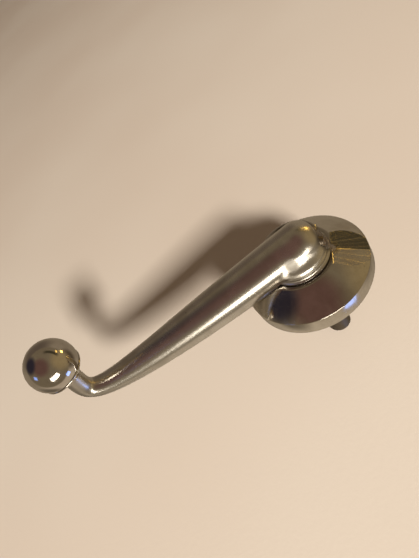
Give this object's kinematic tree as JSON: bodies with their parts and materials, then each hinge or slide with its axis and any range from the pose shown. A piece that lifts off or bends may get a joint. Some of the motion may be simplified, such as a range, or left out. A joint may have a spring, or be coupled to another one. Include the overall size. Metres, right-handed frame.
{
  "type": "window handle",
  "caption": "Crank-type window handle: a domed round rose, a swan lever on a round spindle and a ball knob that spins on the lever's tip.",
  "frame": {"origin": "centre of the rose's flat back face, on the spindle's axis, where the handle lies against the sash", "axes": "+Z along the spindle out of the sash towards the hand, -X along the lever towards the knob at rest, +Y completes the right-handed frame"},
  "size_m": [0.1327, 0.05, 0.087],
  "materials": {
    "chrome_rose": "polished",
    "chrome_lever": "polished",
    "chrome_knob": "polished",
    "dark_steel": "tarnished",
    "bright_steel": "satin",
    "bronze": "satin",
    "fibre": "matte"
  },
  "bodies": {
    "rose": {"rose_flange": "chrome_rose", "spindle_bush": "bronze"},
    "lever": {"lever_arm": "chrome_lever", "spindle": "dark_steel", "hub_washer": "fibre", "hub_grub_screw": "dark_steel", "spindle_washer": "bright_steel", "spindle_spring": "bright_steel", "spindle_circlip": "bright_steel", "knob_pin": "bright_steel", "knob_snap_ring": "bright_steel", "knob_washer": "fibre"},
    "knob": {"knob_ball": "chrome_knob", "knob_collar": "chrome_knob", "knob_bush": "bronze"}
  },
  "joints": [
    {"name": "lever_turn", "type": "hinge", "parent": "rose", "child": "lever", "pos_m": [0, 0, 0], "axis": [0, 0, 1], "continuous": true},
    {"name": "knob_spin", "type": "hinge", "parent": "lever", "child": "knob", "pos_m": [-0.0975, 0, 0.0382], "axis": [0, 0, 1], "continuous": true}
  ]
}
